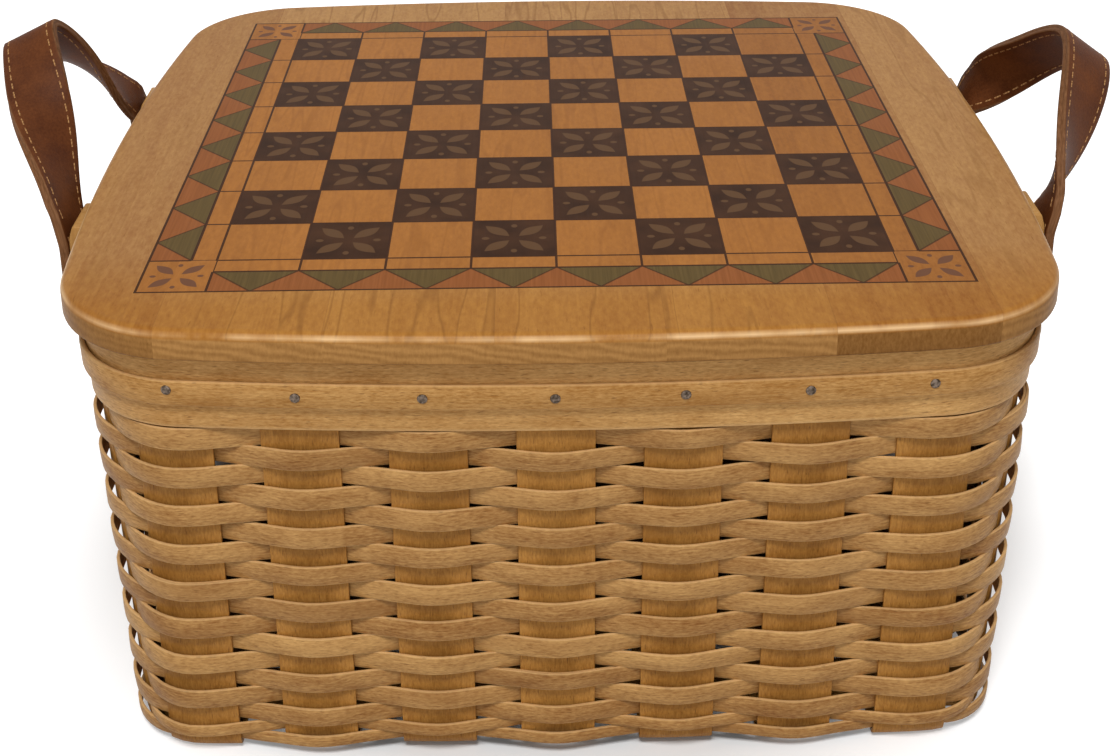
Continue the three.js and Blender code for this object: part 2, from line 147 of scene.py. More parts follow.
class Value:
    """A socket of a node; a sum on it adds its Math node, and `|` gives the larger of two."""

    def __init__(self, net, socket):
        self.net, self.socket = net, socket

    def of(self, operation, *others):
        return self.net.maths(operation, self, *others)

    def __rsub__(self, other):
        return self.net.maths("SUBTRACT", other, self)

    __add__ = __radd__ = partialmethod(of, "ADD")
    __sub__ = partialmethod(of, "SUBTRACT")
    __mul__ = __rmul__ = partialmethod(of, "MULTIPLY")
    __truediv__ = partialmethod(of, "DIVIDE")
    __lt__ = partialmethod(of, "LESS_THAN")
    __gt__ = partialmethod(of, "GREATER_THAN")
    __or__ = __ror__ = partialmethod(of, "MAXIMUM")
    __pow__ = partialmethod(of, "POWER")
    __abs__ = partialmethod(of, "ABSOLUTE")

    def ramp(self, low=0.0, high=1.0):
        """0 below low, 1 above high, and a straight rise between."""
        return self.net.node("ShaderNodeMapRange", {"clamp": True},
                             {"Value": self, "From Min": low, "From Max": high})

    def spread(self):
        """A noise stays mostly between 0.3 and 0.7, and this spreads it from 0 to 1."""
        return self.ramp(0.3, 0.7)

    def split(self):
        parts = self.net.node("ShaderNodeSeparateXYZ", None, {0: self}).socket.node.outputs
        return [Value(self.net, part) for part in parts]


class Net:
    """The nodes of a material or of the sky; `node` adds any node and gives back one output."""

    def __init__(self, tree):
        self.tree = tree

    def join(self, value, socket):
        """Links a value to a socket, or writes a number or a colour code on it."""
        if isinstance(value, Value):
            self.tree.links.new(value.socket, socket)
        else:
            socket.default_value = srgb(value) if isinstance(value, str) else value

    def node(self, kind, settings=None, inputs=None, output=0):
        made = self.tree.nodes.new(kind)
        for key, value in (settings or {}).items():
            setattr(made, key, value)
        for key, value in (inputs or {}).items():
            self.join(value, made.inputs[key])
        return Value(self, made.outputs[output])

    def maths(self, operation, *values):
        return self.node("ShaderNodeMath", {"operation": operation}, dict(enumerate(values)))

    def place(self, x, y, z=0.0):
        return self.node("ShaderNodeCombineXYZ", None, {0: x, 1: y, 2: z})

    def on_object(self):
        return self.node("ShaderNodeTexCoord", output="Object")

    def on_strip(self, map_name):
        """The way along a strip and the way across it, from one of its two texture maps."""
        return self.node("ShaderNodeUVMap", {"uv_map": map_name}).split()[:2]

    def noise(self, at, detail=2.0, roughness=0.5, scale=1.0):
        """A noise at a vector, or at two or three sums that give the place on its pattern."""
        vector = self.place(*at) if isinstance(at, tuple) else at
        return self.node("ShaderNodeTexNoise", None,
                         {"Vector": vector, "Scale": scale, "Detail": detail, "Roughness": roughness})

    def mix(self, share, first, second):
        return self.node("ShaderNodeMix", {"data_type": "RGBA"}, {0: share, 6: first, 7: second}, 2)


class Paint(Net):
    """One material with a Principled shader, and the values that stay the same all over it."""

    def __init__(self, name, **fixed):
        self.material = bpy.data.materials.new(name)
        self.material.use_nodes = True
        super().__init__(self.material.node_tree)
        self.shader = self.tree.nodes["Principled BSDF"]
        for socket, value in fixed.items():
            self.shader.inputs[socket.replace("_", " ")].default_value = value

    def set(self, socket, value):
        self.join(value, self.shader.inputs[socket])

    def bump(self, height, strength, distance):
        self.set("Normal", self.node("ShaderNodeBump", None,
                                     {"Strength": strength, "Distance": distance, "Height": height}))


# %% [markdown]
# ## Sky and floor
# The sky adds a little even light, and the floor catches the shadow. Both are white to the camera,
# in reflections and through gaps, but not as light, so the weave keeps its own shadows. Away from
# the basket the floor glows white, more and more as the lamps fade.

# %% Sky and floor
def meets_white(net):
    """1 for the rays that meet the white background."""
    seen, glossy, through = (net.node("ShaderNodeLightPath", output=f"Is {kind} Ray")
                             for kind in ("Camera", "Glossy", "Transmission"))
    return seen | glossy | through


def set_sky():
    world = bpy.data.worlds.new("sky")
    bpy.context.scene.world = world
    world.use_nodes = True
    sky = Net(world.node_tree)
    back = sky.tree.nodes["Background"]
    sky.join(meets_white(sky) * 0.8 + 0.2, back.inputs["Strength"])
    sky.join((1, 1, 1, 1), back.inputs["Color"])


def mesh_of(bm, name):
    mesh = bpy.data.meshes.new(name)
    bm.to_mesh(mesh)
    bm.free()
    return mesh


def make_floor():
    bm = bmesh.new()
    bmesh.ops.create_circle(bm, cap_ends=True, segments=64, radius=9)
    mesh = mesh_of(bm, "floor")
    paint = Paint("pale_floor", Roughness=0.9, Emission_Strength=1, Specular_IOR_Level=0)
    place = paint.on_object()
    seen = meets_white(paint)
    pale = paint.mix(paint.noise(place, scale=3.0), (0.78, 0.78, 0.78, 1), (0.81, 0.81, 0.81, 1))
    paint.set("Base Color", paint.mix(seen, (0.55, 0.53, 0.5, 1), pale))
    x, y, _ = place.split()
    away = (x * x + y * y).of("SQRT")
    open_floor = (away.ramp(0.18, 0.27) * 0.65 + away.ramp(0.6, 2.0) * 0.35) * seen
    paint.set("Emission Color", paint.mix(open_floor, (0, 0, 0, 1), (1, 1, 1, 1)))
    mesh.materials.append(paint.material)
    floor = show("floor", mesh)
    floor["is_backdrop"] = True


bpy.context.scene.view_settings.view_transform = "Standard"
set_sky()
make_floor()
print("sky and floor")

# %% [markdown]
# ## The shape of the wall
# Seen from above, the basket is a square with slightly bowed sides and round corners. Arcs give
# both: four wide ones for the sides and four small ones that meet them smoothly. The outline is
# smaller at the floor than at the rim.

# %% Outlines
RIM_HEIGHT = 181 * MM


def between(low, high, share):
    return low + (high - low) * share


OTHER = {"x": "y", "y": "x"}


class Outline:
    """A square of four bowed sides and four corner arcs that meet them smoothly."""

    def __init__(self, half_x, half_y, corner, bow):
        self.half = {"x": half_x, "y": half_y}
        self.corner, self.bow = corner, bow
        reach = bow - corner
        x, y = half_x - corner, half_y - corner
        for _ in range(40):
            x = sqrt(reach ** 2 - y ** 2) - (bow - half_x)
            y = sqrt(reach ** 2 - x ** 2) - (bow - half_y)
        self.middle = {"x": x, "y": y}
        self.lean = {"x": math.asin(x / reach), "y": math.asin(y / reach)}

    def reach(self, facing):
        """How far along a side its corner begins. A side that faces y runs along x."""
        return self.bow * sin(self.lean[OTHER[facing]])

    def depth(self, facing, along, offset):
        other = OTHER[facing]
        radius = self.bow + offset
        if abs(along) <= radius * sin(self.lean[other]):
            return self.half[facing] - self.bow + sqrt(radius ** 2 - along ** 2)
        into = abs(along) - self.middle[other]
        return self.middle[facing] + sqrt((self.corner + offset) ** 2 - into ** 2)

    def corner_place(self, corner, share, offset):
        first, last = ("x", "y") if corner % 2 == 0 else ("y", "x")
        turn = between(self.lean[first], pi / 2 - self.lean[last], share)
        angle = (corner - 1) * pi / 2 + turn
        sign_x = 1 if corner in (0, 1) else -1
        sign_y = -1 if corner in (0, 3) else 1
        radius = self.corner + offset
        return Vector((sign_x * self.middle["x"] + radius * cos(angle),
                       sign_y * self.middle["y"] + radius * sin(angle)))


RIM = Outline(181.6 * MM, 178.7 * MM, 43 * MM, 1400 * MM)
FLOOR = Outline(170.6 * MM, 169.2 * MM, 26 * MM, 3000 * MM)
print("corner radius at rim and floor", [round(v.corner, 3) for v in (RIM, FLOOR)])

# %% [markdown]
# The wall runs straight between the two outlines. Everything woven follows it, so one function gives
# the place for any way round, any distance out from the stakes and any height.

# %% Wall
def wall_depth(facing, along, offset, z):
    return between(FLOOR.depth(facing, along, offset), RIM.depth(facing, along, offset), z / RIM_HEIGHT)


def side_reach(facing, z):
    return between(FLOOR.reach(facing), RIM.reach(facing), z / RIM_HEIGHT)


# which way each side faces: front, right, back, left
FACING = "yxyx"


def on_side(side, along, depth):
    return ((along, -depth), (depth, along), (-along, depth), (-depth, -along))[side]


def wall_point(way, offset, z):
    """way runs from 0 to 8 round the basket: front, corner, right, corner, back, corner, left, corner."""
    way %= 8
    side, part = int(way // 2), way % 2
    if part < 1:
        facing = FACING[side]
        along = side_reach(facing, z) * (2 * part - 1) * (1 + offset / RIM.bow)
        return Vector((*on_side(side, along, wall_depth(facing, along, offset, z)), z))
    low = FLOOR.corner_place(side, part - 1, offset)
    high = RIM.corner_place(side, part - 1, offset)
    return Vector((*low.lerp(high, z / RIM_HEIGHT), z))


DOME_RISE, DOME_REACH = 2.0 * MM, 140 * MM


def dome(x, y):
    """The bottom rests on its four corners and rises a little between them, as woven bottoms do."""
    return DOME_RISE * max(0, 1 - (x * y / DOME_REACH ** 2) ** 2)


print("front of the rim", wall_point(0.5, 0, RIM_HEIGHT))

# %% [markdown]
# Seven stakes stand on each side. A strip that goes round needs to know how far it has come and when
# it passes each stake, and that differs with the height, so it is measured for each course.

# %% Places of the stakes
STAKE_WIDTH, STAKE_THICK, STAKE_PITCH = 28.5 * MM, 1.8 * MM, 46
FRONT_STAKES = [(-3 + STAKE_PITCH * k) * MM for k in range(-3, 4)]
SIDE_STAKES = [STAKE_PITCH * k * MM for k in range(-3, 4)]
# the stakes of each side, as places along it
SIDES = (FRONT_STAKES, SIDE_STAKES, [-x for x in FRONT_STAKES], SIDE_STAKES)
ROUND = sum(len(side) for side in SIDES)


class Course:
    """The way round the wall at one height: how far round each place and each stake is."""

    def __init__(self, z):
        self.ways = np.linspace(0, 8, 1601)
        points = [wall_point(w if w < 8 else 0, 0, z) for w in self.ways]
        steps = [(b - a).length for a, b in zip(points, points[1:])]
        self.far = np.concatenate([[0], np.cumsum(steps)])
        self.total = float(self.far[-1])
        stakes = []
        for side in range(4):
            reach = side_reach(FACING[side], z)
            ways = [2 * side + (p / reach + 1) / 2 for p in sorted(SIDES[side])]
            stakes += [np.interp(way, self.ways, self.far) for way in ways]
        self.stakes = np.array([stakes[-1] - self.total, *stakes, stakes[0] + self.total])

    def way(self, far):
        return float(np.interp(far % self.total, self.far, self.ways))

    def beat(self, far):
        """A count that is whole at each stake's middle and goes on rising round after round."""
        rounds = math.floor(far / self.total)
        rest = far - rounds * self.total
        return ROUND * rounds + float(np.interp(rest, self.stakes, np.arange(-1, ROUND + 1)))


print("rim is", round(Course(RIM_HEIGHT).total, 3), "m round")

# %% [markdown]
# ## Flat strips, bent into place
# A splint is a thin flat strip of maple, and a strap is one of leather. Each is cut flat, its edges
# are eased and it gets its texture maps. Then every point of it moves to where that point lies on
# the real thing. One map is in metres along the grain, and each strip starts somewhere else on it,
# so that no two look alike.

# %% Strips
SHARP_ANGLE = radians(35)


def put_mesh(bm, name, body, nodes, materials):
    """Turns a bmesh into a finished piece that rides on a body and stands for its CAD nodes."""
    mesh = mesh_of(bm, name)
    mesh.shade_smooth()
    mesh.set_sharp_from_angle(angle=SHARP_ANGLE)
    for paint in materials:
        mesh.materials.append(paint.material)
    piece = show(name, mesh)
    if body:
        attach(piece, body)
    if nodes:
        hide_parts(*nodes)
    return piece


def block(size, middle):
    """One box, as a bmesh of its own."""
    bm = bmesh.new()
    bmesh.ops.create_cube(bm, size=1)
    bmesh.ops.scale(bm, vec=size, verts=bm.verts)
    bmesh.ops.translate(bm, vec=middle, verts=bm.verts)
    return bm


def ease_edges(bm, edges, offset, turns, clamp=False):
    bmesh.ops.bevel(bm, geom=edges, offset=offset, segments=turns, profile=0.5, affect="EDGES",
                    material=-1, clamp_overlap=clamp)


def cut_through(bm, place, normal):
    everything = bm.verts[:] + bm.edges[:] + bm.faces[:]
    bmesh.ops.bisect_plane(bm, geom=everything, plane_co=place, plane_no=normal)


def face_out(bm):
    bmesh.ops.recalc_face_normals(bm, faces=bm.faces)


def flat_strip(length, width, thick, step, lanes, ease, turns=2):
    """A flat strip along +X, with eased long edges, cut across every `step` and along into lanes."""
    def long_edges():
        return [e for e in bm.edges if abs(e.verts[0].co.x - e.verts[1].co.x) > length / 2]

    bm = block((length, width, thick), (length / 2, 0, 0))
    ease_edges(bm, long_edges(), ease, turns)
    for lane in range(1, lanes):
        cut_through(bm, (0, width * (lane / lanes - 0.5), 0), (0, 1, 0))
    bmesh.ops.subdivide_edges(bm, edges=long_edges(), cuts=round(length / step) - 1, use_grid_fill=True)
    face_out(bm)
    return bm


def map_and_bend(bm, seed, width, rule):
    """Gives a flat strip its maps, Grain in metres and Place from 0 to 1 across, and then bends it."""
    start = random.Random(seed)
    shift = (start.uniform(0, 90), start.uniform(0, 9))
    grain = bm.loops.layers.uv.new("Grain")
    place = bm.loops.layers.uv.new("Place")
    for face in bm.faces:
        for loop in face.loops:
            co = loop.vert.co
            loop[grain].uv = (co.x + shift[0], co.y + co.z + shift[1])
            loop[place].uv = (co.x, co.y / width + 0.5)
    for vert in bm.verts:
        vert.co = rule(*vert.co)


# %% [markdown]
# ## The wood of the splints
# The splints are varnished maple: a warm honey colour with long pale and dark fibres, a fine
# mottle, short dark flecks and soft stains. Every pattern is stretched along the Grain map, so it
# follows each strip round its bends. The eased edges are a little paler: partly rubbed, and partly
# a painted highlight where light catches them.

# %% Splint material
def splint_wood(name, deep, pale, tint, streak, paler_edge=0.4):
    paint = Paint(name, Coat_Roughness=0.25, Specular_IOR_Level=0.1)
    along, across = paint.on_strip("Grain")
    place = paint.on_strip("Place")[1]
    fibre = paint.noise((along * 40, across * 900), 4.0, 0.65)
    mottle = paint.noise((along * 380, across * 1300), 3.0, 0.6)
    fleck = paint.noise((along * 260, across * 1700 + 5))
    cloud = paint.noise((along * 45, across * 120), 4.0, 0.6)
    stain = paint.noise((along * 12, across * 40 + 7))
    strip = paint.noise((along * 1.9, 0.5), 1.0)
    tone = fibre.spread() * streak + cloud.spread() * (0.75 - streak)
    tone += mottle.spread() * 0.55 + strip.spread() * 0.35 - 0.32
    colour = paint.mix(tone.ramp(), deep, pale)
    colour = paint.mix(stain.ramp(0.54, 0.72) * 0.45, colour, tint)
    colour = paint.mix(fleck.ramp(0.6, 0.72) * 0.6, colour, "663e1a")
    # the pale band along both eased edges is partly wear and partly a painted highlight
    rub_and_highlight = abs(place - 0.5).ramp(0.45, 0.49) * paler_edge
    colour = paint.mix(rub_and_highlight, colour, "dcb682")
    paint.set("Base Color", colour)
    paint.set("Roughness", fibre.ramp() * 0.2 + 0.42)
    paint.set("Coat Weight", cloud.ramp(0.2, 0.8) * 0.1 + 0.04)
    paint.bump(fibre * 0.5 + mottle * 0.5, 0.5, 0.3 * MM)
    return paint


stake_wood = splint_wood("stake_maple", "8b5b24", "ba8541", "86561c", 0.25, 0)
weaver_wood = splint_wood("weaver_maple", "835426", "ca9d61", "8f6335", 0.3)
trim_wood = splint_wood("trim_maple", "9a6930", "d6a869", "98652b", 0.35)
band_wood = splint_wood("band_maple", "a67338", "deaf6f", "a16f36", 0.35)
print("splint woods mixed")

# %% [markdown]
# ## Stakes
# A stake goes down one wall, across the bottom and up the other wall. The two sets of seven cross
# in the bottom, over and under. The rule below bends a flat strip along that way: straight wall,
# tight quarter bend, waved bottom, bend and wall again.

# %% Stakes
STAKE_TOP = RIM_HEIGHT - 0.5 * MM
STAKE_STRAIGHT = STAKE_TOP - 8 * MM
STAKE_CUP = 0.25 * MM
BEND = 4.5 * MM
BOTTOM_SWING = 1.05 * MM
BOTTOM_MIDDLE = BOTTOM_SWING + STAKE_THICK / 2


def plateau(beat, flat):
    """+1 round every even count and -1 round every odd one, flat for a while and then a smooth change."""
    away = abs((beat + 1) % 2 - 1)
    share = min(max((away - flat) / (1 - 2 * flat), 0), 1)
    return 1 - 2 * share * share * (3 - 2 * share)


def stake_rule(facing, middle, index, crossings, parity):
    wall, arc = STAKE_STRAIGHT, BEND * pi / 2
    floor = 2 * (FLOOR.half[facing] - BEND)
    spacing = crossings[1] - crossings[0]

    def level(out):
        beat = min(max((out - crossings[0]) / spacing, 0), len(crossings) - 1)
        raised = dome(middle, min(max(out, -FLOOR.half[facing]), FLOOR.half[facing]))
        return BOTTOM_MIDDLE - BOTTOM_SWING * plateau(beat + index + parity, 0.3) + raised

    def rule(x, y, n):
        across = middle + y
        n -= STAKE_CUP * (2 * y / STAKE_WIDTH) ** 2
        near = x < wall + arc + floor / 2
        sign = -1 if near else 1
        height = level(sign * FLOOR.half[facing]) + BEND
        centre = wall_depth(facing, across, n, height) - (BEND + n)
        walked = x if near else 2 * (wall + arc) + floor - x
        if walked < wall:
            z = between(STAKE_TOP, height, walked / wall)
            out = sign * wall_depth(facing, across, n, z)
        elif walked < wall + arc:
            turn = (walked - wall) / BEND
            out = sign * (centre + (BEND + n) * cos(turn))
            z = height - (BEND + n) * sin(turn)
        else:
            out = sign * centre * (1 - (walked - wall - arc) / (floor / 2))
            z = level(out) - n
        return (across, out, z) if facing == "y" else (out, across, z)

    return rule, 2 * (wall + arc) + floor


def make_stakes(facing, middles, crossings, parity, name):
    for index, middle in enumerate(middles):
        rule, length = stake_rule(facing, middle, index, crossings, parity)
        bm = flat_strip(length, STAKE_WIDTH, STAKE_THICK, 2.4 * MM, lanes=6, ease=0.4 * MM)
        map_and_bend(bm, f"{name}{index}", STAKE_WIDTH, rule)
        node = f"{name}_{index + 1}"
        put_mesh(bm, f"splint_{node}", "basket", [node], [stake_wood])


make_stakes("y", FRONT_STAKES, SIDE_STAKES, 0, "stake_front_back")
make_stakes("x", SIDE_STAKES, FRONT_STAKES, 1, "stake_left_right")
print("14 stakes")

# %% [markdown]
# ## Weavers
# Each row is one narrow splint that passes outside one stake and inside the next; the two rows at
# the foot are slimmer. Its ends overlap for two stakes, and the doubled place is a little thicker.
# The rows are beaten down so tightly that neighbours crowd each other where they cross. The strip
# bows out over each stake as bent wood does. Each row wanders, leans, swells and thins a little,
# because no splint is cut quite true.

# %% Weavers
ROWS, FOOT_ROWS = 18, 2
ROW_GAP, ROW_THICK = 0.4 * MM, 1.3 * MM
FOOT_WIDTH = 4.8 * MM
FOOT_BOTTOM, WALL_TOP = 4.2 * MM, RIM_HEIGHT - 31.4 * MM
FOOT_TOP = FOOT_BOTTOM + FOOT_ROWS * (FOOT_WIDTH + ROW_GAP)
ROW_WIDTH = (WALL_TOP + ROW_GAP - FOOT_TOP) / (ROWS - FOOT_ROWS) - ROW_GAP
CROWDING = 0.3 * MM
SWING, SWING_FLAT = 3.35 * MM, 0.3 * MM
LAP_PAST, LAP_TAPER, LAP_APART, LAP_DROP = 9 * MM, 25 * MM, 0.54 * MM, 0.25 * MM
ROW_CUP, CORNER_OUT, DOME_FADE = 0.12 * MM, 1.3 * MM, 50 * MM


def swing(beat):
    return SWING * cos(pi * beat) + SWING_FLAT * cos(3 * pi * beat)


def ease_step(value, low, high):
    share = min(max((value - low) / (high - low), 0), 1)
    return share * share * (3 - 2 * share)


def make_row(row):
    chance = random.Random(row + 7)
    width = FOOT_WIDTH if row < FOOT_ROWS else ROW_WIDTH
    bottom = FOOT_BOTTOM + row * (FOOT_WIDTH + ROW_GAP)
    if row >= FOOT_ROWS:
        bottom = FOOT_TOP + (row - FOOT_ROWS) * (ROW_WIDTH + ROW_GAP)
    middle = bottom + width / 2
    course = Course(middle)
    first = (5 * row + 9) % ROUND
    first += (first + row) % 2
    start = float(course.stakes[first + 1]) - LAP_PAST
    stakes = np.append(course.stakes, course.stakes[2:4] + course.total)
    lap = float(np.interp(first + 2, np.arange(-1, ROUND + 3), stakes)) - start + LAP_PAST
    length = course.total + lap
    waves = [(chance.uniform(0.2, 0.4) * MM, chance.uniform(14, 45), chance.uniform(0, 6))
             for _ in range(3)]
    swell, swell_rate = chance.uniform(0.02, 0.05), chance.uniform(20, 60)
    tilt, tilt_rate, tilt_start = chance.uniform(0.03, 0.09), chance.uniform(9, 30), chance.uniform(0, 6)
    width += CROWDING

    def rule(x, y, n):
        far = start + x
        beat = course.beat(far)
        early = 1 - ease_step(x, lap, lap + LAP_TAPER)
        late = ease_step(x, course.total - LAP_TAPER, course.total)
        doubled = early + late
        n = n * (1 - 0.2 * doubled) + (late - early) * LAP_APART
        n -= ROW_CUP * (2 * y / width) ** 2 - tilt * y * sin(tilt_rate * far + tilt_start)
        drift = sum(size * sin(rate * far + phase) for size, rate, phase in waves)
        swollen = 1 + swell * sin(swell_rate * far) - 0.03 * doubled
        z = middle + y * swollen + 0.45 * drift + (late - early) * LAP_DROP
        way = course.way(far)
        at_corner = sin(pi * (way % 1)) if way % 2 > 1 else 0
        point = wall_point(way, n - swing(beat + row) + CORNER_OUT * at_corner, z)
        point.z += dome(point.x, point.y) * max(0, 1 - z / DOME_FADE)
        return point

    bm = flat_strip(length, width, ROW_THICK, 3.2 * MM, lanes=2, ease=0.32 * MM)
    map_and_bend(bm, f"row{row}", width, rule)
    name = f"weaver_row_{row + 1:02d}"
    return put_mesh(bm, f"splint_{name}", "basket", [name], [weaver_wood])


rows = [make_row(row) for row in range(ROWS)]
print(len(rows), "rows of", len(rows[0].data.polygons), "faces")

# %% [markdown]
# ## Rim bands
# A wide band outside and one inside hold the stakes, and a narrow strip is nailed round the
# outside. The ends of a band are shaved to long wedges that lie on each other, a scarf joint.

# %% Rim bands
SCARF = 45 * MM


def make_band(name, node, inner, thick, bottom, top, joint_at, ease, wood):
    course = Course(RIM_HEIGHT)
    middle, width = (bottom + top) / 2, top - bottom
    length = course.total + SCARF

    def rule(x, y, n):
        share = min(x, length - x, SCARF) / SCARF
        face = (n / thick + 0.5) * share + (x > length / 2) * (1 - share)
        out = inner + thick * (0.02 + 0.96 * face)
        return wall_point(course.way(joint_at * course.total + x), out, middle + y)

    bm = flat_strip(length, width, thick, 3.5 * MM, lanes=2, ease=ease)
    map_and_bend(bm, name, width, rule)
    return put_mesh(bm, name, "basket", [node], [wood])


BAND_START, BAND_THICK = 1.4 * MM, 2.2 * MM
TRIM_START, TRIM_THICK, TRIM_HEIGHT = 3.8 * MM, 2 * MM, 10.1 * MM
TRIM_MIDDLE = RIM_HEIGHT - 15.5 * MM
BAND_EASE, TRIM_EASE = 0.55 * MM, 0.7 * MM
make_band("band_outer", "rim_outer_band", BAND_START, BAND_THICK,
          RIM_HEIGHT - 30.7 * MM, RIM_HEIGHT, 0.55, BAND_EASE, band_wood)
make_band("band_inner", "rim_inner_band", -BAND_START - BAND_THICK, BAND_THICK,
          RIM_HEIGHT - 26 * MM, RIM_HEIGHT, 0.3, BAND_EASE, band_wood)
make_band("band_trim", "rim_trim_strip", TRIM_START, TRIM_THICK,
          TRIM_MIDDLE - TRIM_HEIGHT / 2, TRIM_MIDDLE + TRIM_HEIGHT / 2, 0.8, TRIM_EASE, trim_wood)
print("3 bands")

# %% [markdown]
# ## The lid board
# The lid is glued up from staves that run from front to back, and its edge is rounded over. The
# outline is the rim's own, a finger's width larger. One face is pulled up to the board's thickness
# and both its rims are bevelled. A thin inset keeps the shading of the flat top flat.

# %% Lid shape
LID_BOTTOM = RIM_HEIGHT + 0.3 * MM
LID_THICK = 11.7 * MM
LID_TOP = LID_BOTTOM + LID_THICK
LID_OVERHANG = 10 * MM
TOP_ROUND, LOW_ROUND, FLAT_INSET = 3.2 * MM, 1.2 * MM, 0.6 * MM


def pull_out(bm, ring, way):
    """Closes a ring of vertices with a face and pulls that out into a solid."""
    grown = bmesh.ops.extrude_face_region(bm, geom=[bm.faces.new(ring)])
    moved = [part for part in grown["geom"] if isinstance(part, bmesh.types.BMVert)]
    bmesh.ops.translate(bm, vec=way, verts=moved)
    face_out(bm)


def make_lid(paint):
    bm = bmesh.new()
    ways = []
    for side in range(4):
        ways += [2 * side + k / 18 for k in range(18)] + [2 * side + 1 + k / 20 for k in range(20)]
    ring = [bm.verts.new((*wall_point(w, LID_OVERHANG, RIM_HEIGHT).xy, LID_BOTTOM)) for w in ways]
    pull_out(bm, ring, (0, 0, LID_THICK))

    def rim_at(z):
        return [e for e in bm.edges if all(abs(v.co.z - z) < 1e-6 for v in e.verts)]

    ease_edges(bm, rim_at(LID_TOP), TOP_ROUND, 5)
    ease_edges(bm, rim_at(LID_BOTTOM), LOW_ROUND, 3)
    flats = [face for face in bm.faces if len(face.verts) > 100]
    bmesh.ops.inset_region(bm, faces=flats, thickness=FLAT_INSET)
    return put_mesh(bm, "lid_board", "lid", ["lid_panel"], [paint])


# %% [markdown]
# ## The board's wood
# Each stave has a piece of grain of its own: long swirls, rings that darken to thin lines, fibres,
# a mottle and flecks. A white noise on the stave's number picks the piece and makes some staves
# darker. Along the front the wood is more amber, and elsewhere it is greyer: a painted reflection,
# the haze that the varnish shows towards the sides and back.

# %% Lid wood
PER_METRE = 1000
STAVE, STAVE_START = 59.3, 81.6


def stave_grain(paint, x, y, z, across):
    staves = (across + STAVE_START) / STAVE
    number = staves.of("FLOOR") + 0.5
    odd = paint.node("ShaderNodeTexWhiteNoise", {"noise_dimensions": "1D"}, {"W": number})
    shift = odd * 7
    swirl = paint.noise((x * 40 + shift * 3, y * 3.2 + shift, z * 18), 3.0, 0.55)
    rings = (swirl * 46 + x * 90).of("SINE") * 0.5 + 0.5
    return {
        "odd": odd,
        "swirl": swirl,
        "rings": rings,
        "lines": rings ** 12.0 * odd.ramp(0.2, 0.9),
        "fibre": paint.noise((x * 900 + shift, y * 26, z * 300), 4.0, 0.6),
        "fleck": paint.noise((x * 1500, y * 150, z * 700)),
        "mottle": paint.noise((x * 700, y * 260, z * 500), 3.0, 0.6),
        "seam": abs(staves.of("FRACT") - 0.5),
    }


def stave_colours(paint, y, grain):
    """The colour of the bare wood, and that of the light squares on it."""
    tone = grain["swirl"].spread() * 0.3 + grain["rings"] * 0.14
    tone += grain["fibre"].spread() * 0.2 + grain["odd"] * 0.45
    tone = (tone + grain["mottle"].spread() * 0.42 - 0.26).ramp()
    # painted reflection: the plain colour is greyer for the varnish's haze towards the sides and back, and
    # the front keeps the amber one
    plain = paint.mix(tone, "905f34", "b98c56")
    amber = paint.mix(tone, "8b5522", "b37d3b")
    wood = paint.mix((y * -1).ramp(0.12, 0.165), plain, amber)
    wood = paint.mix(grain["lines"] * 0.5, wood, "7c4d1f")
    wood = paint.mix(grain["fleck"].ramp(0.64, 0.76) * 0.45, wood, "734418")
    wood = paint.mix(grain["seam"].ramp(0.4965, 0.499) * 0.35, wood, "7b4e25")
    light = paint.mix(tone, "8c5726", "ad7135")
    light = paint.mix(grain["lines"] * 0.3, light, "7c4a1e")
    light = paint.mix(grain["fleck"].ramp(0.64, 0.78) * 0.22, light, "8a5426")
    return wood, light


# %% [markdown]
# ## The board's print
# The top is printed as a draughts board, all traditional ornament: dark and light squares, a
# four-petalled flower in each dark one, a plain strip and a border of saw-tooth triangles with a
# flower in each corner. It is drawn with maths on the board's own millimetres, and the board is
# folded on itself, so one side's sums draw all four.

# %% Lid print
CELL = 31.75
FIELD = 4 * CELL
STRIP_END, BOARD_END = FIELD + 9.5, 152.4
PRINT_SHIFT = 1.8 * MM
THIN_LINE, FRAME_LINE, TOOTH_LINE = 0.48, 0.5, 0.018


def flower(fx, fy):
    """Four leaves towards the corners and four drops towards the sides of a square, from -0.5 to 0.5."""
    ax, ay = abs(fx), abs(fy)
    out, wide = (ax + ay) * 0.7071, abs(ax - ay) * 0.7071
    share = (out - 0.075) / 0.43
    body = (share.of("MAXIMUM", 0.0).of("MINIMUM", 1.0) * pi).of("SINE")
    leaf = (body * 0.094 - wide).ramp(0.0, 0.012)
    far, near = ax.of("MAXIMUM", ay), ax.of("MINIMUM", ay)
    drop = (far - 0.345) ** 2.0 + (near * 1.25) ** 2.0
    return leaf | 1 - drop.of("SQRT").ramp(0.04, 0.052)


